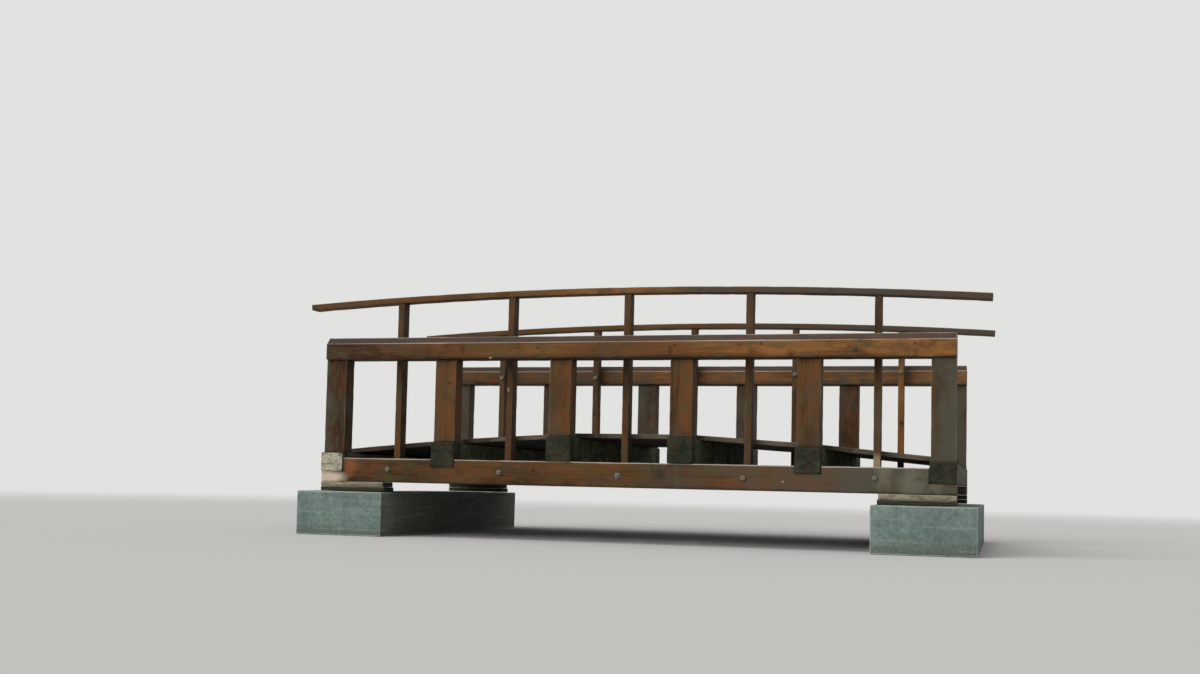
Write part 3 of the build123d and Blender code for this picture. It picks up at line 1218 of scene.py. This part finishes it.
def abutment(end):
    """A cast block with rounded and chipped arrises and slightly uneven faces."""
    low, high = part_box(f"abutment_{end}")
    radius = ABUTMENT_RADIUS
    shift = Vector((3.0 * ENDS[end], 0.0, 0.0))
    edit = bmesh.new()
    edge = edit.verts.layers.float.new("edge")
    gridded_block(edit, low, high, radius)
    for vertex in edit.verts:
        core = Vector([min(max(vertex.co[i], low[i] + radius), high[i] - radius) for i in range(3)])
        out = vertex.co - core
        at_arris = sum(abs(part) > 0.001 for part in out) > 1
        vertex[edge] = 1.0 if at_arris else 0.0
        out.normalize()
        place = vertex.co + shift
        pull = 0.0015 * (1 + noise.noise(place * 2.0)) + 0.0012 * (1 + noise.noise(place * 14.0))
        if at_arris:
            pull += 0.02 * max(0.0, noise.noise(place * 7.0) - 0.15)
        if out.z < -0.5:
            pull = 0.0
        vertex.co = core + out * (radius - pull)
    mesh = bpy.data.meshes.new(f"abutment_piece_{end}")
    edit.to_mesh(mesh)
    edit.free()
    shade(mesh, 40)
    place_piece(mesh.name, mesh, "concrete", f"abutment_{end}")


# Bolts and screws

# Turned outlines, as pairs of radius and height
NUT = [
    (NUT_RADIUS, 0.0), (NUT_RADIUS, 0.012), (NUT_RADIUS * 0.88, 0.0135),
    (0.0085, 0.0135), (0.0085, 0.006), (0.0, 0.006),
]
BOLT_END = [(0.0082, 0.0), (0.0082, 0.016), (0.007, 0.0175), (0.0, 0.0175)]
SCREW_HEAD = [(0.0048, 0.0), (0.0045, 0.0016), (0.003, 0.0024), (0.0, SCREW_HEIGHT)]
NAIL_HEAD = [(0.009, 0.0), (0.009, 0.0015), (0.005, 0.004), (0.0, 0.0045)]

# How far each rail post's lower bolt, and its upper bolt, lies off its drawn place along X and Z
LOWER_BOLT_SHIFTS = ((0.014, 0.005), (0.003, -0.002), (0.002, -0.007), (0.005, -0.006), (0.003, 0.011))
UPPER_BOLT_SHIFTS = ((0.0, -0.024), (0.0, -0.024), (0.0, 0.0), (0.0, 0.007), (-0.003, 0.026))
WIDE_WASHER_POST = 3
NAIL_PLACE = (1.184, NEAR_FACE, 0.467)


def washer(radius):
    return [(radius, 0.0), (radius, 0.003), (radius - 0.001, WASHER_THICKNESS), (0.0, WASHER_THICKNESS)]


class Metal:
    """Gathers turned metal pieces into one mesh."""

    def __init__(self):
        self.points = []
        self.faces = []

    def add(self, profile, sides, place, direction, turn=0.0):
        """Adds a closed solid of revolution that stands on a place."""
        stand = direction.to_track_quat("Z", "Y").to_matrix()
        last = None
        for radius, height in [(0.0, profile[0][1]), *profile]:
            count = sides if radius else 1
            ring = []
            for i in range(count):
                angle = turn + 2 * math.pi * i / count
                local = Vector((radius * math.cos(angle), radius * math.sin(angle), height))
                ring.append(len(self.points))
                self.points.append(place + stand @ local)
            if last:
                self.faces += ring_faces(last, ring)
            last = ring

    def build(self, name, finish="galvanised_steel"):
        mesh = bpy.data.meshes.new(name)
        mesh.from_pydata(self.points, [], self.faces)
        shade(mesh, 30)
        return place_piece(name, mesh, finish)


def rail_post_bolts(side, number):
    """The bolts that hold one rail post to both chords: washers, nuts and bolt ends."""
    sign = SIDES[side]
    outward = Vector((0, sign, 0))
    low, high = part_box(f"rail_post_{side}_{number}")
    middle = (low.x + high.x) / 2
    inner = high.y if sign < 0 else low.y
    upper_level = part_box(f"top_chord_{side}")[0].z + TOP_BOLT_ABOVE_CHORD_BASE
    lower, upper = LOWER_BOLT_SHIFTS[number - 1], UPPER_BOLT_SHIFTS[number - 1]
    outer_radius = WIDE_WASHER_RADIUS if number == WIDE_WASHER_POST else WASHER_RADIUS
    places = (
        (lower, BOLT_LEVEL, sign * -NEAR_FACE, outward, outer_radius),
        (lower, BOLT_LEVEL, inner, -outward, WASHER_RADIUS),
        (upper, upper_level, inner, -outward, WASHER_RADIUS),
    )
    pick = random.Random(800 + 10 * number + sign)
    nuts = Metal()
    bolts = Metal()
    for (x, z), level, y, direction, radius in places:
        seat = Vector((middle + x, y, level + z)) - direction * SEAT_DEPTH
        on_washer = seat + direction * WASHER_THICKNESS
        bolts.add(washer(radius), 28, seat, direction)
        nuts.add(NUT, 6, on_washer, direction, pick.random())
        bolts.add(BOLT_END, 14, on_washer, direction)
    nuts.build(f"nuts_{side}_{number}")
    bolts.build(f"bolts_{side}_{number}", "dull_steel")


def chord_nail():
    """A large nail driven into the near bottom chord."""
    metal = Metal()
    metal.add(NAIL_HEAD, 12, Vector(NAIL_PLACE), Vector((0, -1, 0)))
    metal.build("chord_nail")


def handrail_screws(side):
    """Two screws through the handrail into each rail post."""
    arc = RailArc(side)
    metal = Metal()
    for number in BAYS:
        low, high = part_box(f"rail_post_{side}_{number}")
        x = (low.x + high.x) / 2
        for offset in (-RAIL_SCREW_OFFSET, RAIL_SCREW_OFFSET):
            place = arc.bend(Vector((x, arc.y + offset, arc.top)))
            up = (place - Vector((0, place.y, arc.centre))).normalized()
            metal.add(SCREW_HEAD, 10, place - up * SCREW_HEIGHT, up)
    metal.build(f"handrail_screws_{side}")


# Camera, light and floor

# Where the floor starts and ends to fade into the background, its radius, and its level
FLOOR_FADE = (9.0, 26.0)
FLOOR_RADIUS = 80
FLOOR_LEVEL = -0.0005


def photo_camera():
    data = bpy.data.cameras.new("camera")
    data.sensor_width = SENSOR_WIDTH
    data.lens = SENSOR_WIDTH * FOCAL_PIXELS / PHOTO_WIDTH
    data.shift_y = (CENTRE_ROW - PHOTO_HEIGHT / 2) / PHOTO_WIDTH
    data.clip_end = 500
    camera = new_object("camera", data)
    heading = Matrix.Rotation(CAMERA_HEADING, 4, "Z")
    tilt = Matrix.Rotation(math.pi / 2 + CAMERA_TILT, 4, "X")
    roll = Matrix.Rotation(CAMERA_ROLL, 4, "Z")
    camera.matrix_world = Matrix.Translation(CAMERA_PLACE) @ heading @ tilt @ roll
    bpy.context.scene.camera = camera


def sun(name, direction, strength):
    """A soft lamp that shines along a direction."""
    data = bpy.data.lights.new(name, "SUN")
    data.energy = strength
    data.angle = math.radians(LAMP_ANGLE)
    lamp = new_object(name, data)
    lamp.rotation_mode = "QUATERNION"
    lamp.rotation_quaternion = Vector(direction).to_track_quat("-Z", "Y")


def seen_directly(nodes):
    """Returns 1 for rays that show the background itself, by eye, in gloss or through glass."""
    path = nodes.add("LightPath").outputs
    shown = nodes.math("MAXIMUM", path["Is Camera Ray"], path["Is Glossy Ray"])
    return nodes.math("MAXIMUM", shown, path["Is Transmission Ray"])


def mix_shaders(nodes, share, first, second):
    inputs = {0: share, 1: first.outputs[0], 2: second.outputs[0]}
    return nodes.add("MixShader", inputs).outputs[0]


def studio():
    """A pale world, a soft key lamp from the upper left and a weak fill."""
    nodes = Nodes(bpy.data.worlds.new("studio"))
    bpy.context.scene.world = nodes.owner
    ambient = nodes.add("Background", {"Color": (1, 1, 1, 1), "Strength": AMBIENT})
    shown = nodes.add("Background", {"Color": BACKGROUND, "Strength": 1.0})
    nodes.add("OutputWorld", {0: mix_shaders(nodes, seen_directly(nodes), ambient, shown)})
    sun("key", (0.55, 0.75, -0.75), KEY)
    sun("fill", (-0.7, 0.5, -0.35), FILL)


def floor():
    """A pale round floor that fades into the background far from the bridge."""
    nodes = Nodes(bpy.data.materials.new("floor"))
    surface = nodes.add("BsdfDiffuse", {"Color": FLOOR})
    glow = nodes.add("Emission", {"Color": BACKGROUND, "Strength": 1.0})
    far = nodes.times(nodes.fade(nodes.length(nodes.place()), *FLOOR_FADE), seen_directly(nodes))
    nodes.add("OutputMaterial", {0: mix_shaders(nodes, far, surface, glow)})
    mesh = bpy.data.meshes.new("floor")
    edit = bmesh.new()
    bmesh.ops.create_circle(edit, cap_ends=True, segments=96, radius=FLOOR_RADIUS)
    edit.to_mesh(mesh)
    edit.free()
    mesh.materials.append(nodes.owner)
    disc = new_object("floor", mesh)
    disc.location.z = FLOOR_LEVEL


# The whole bridge

for side in SIDES:
    top_chord(side)
    bottom_chord(side)
    handrail(side)
    handrail_screws(side)
    for number in POSTS:
        post(side, number)
    for number in BAYS:
        rail_post(side, number)
        rail_post_bolts(side, number)
for number in POSTS:
    cross_beam(number)
for number in BAYS:
    deck_bay(number)
for end in ENDS:
    abutment(end)
    for layer in ("lower", "upper"):
        bearing_boards(end, layer)

chord_nail()

photo_camera()
studio()
floor()
bpy.context.scene.view_settings.view_transform = "Standard"
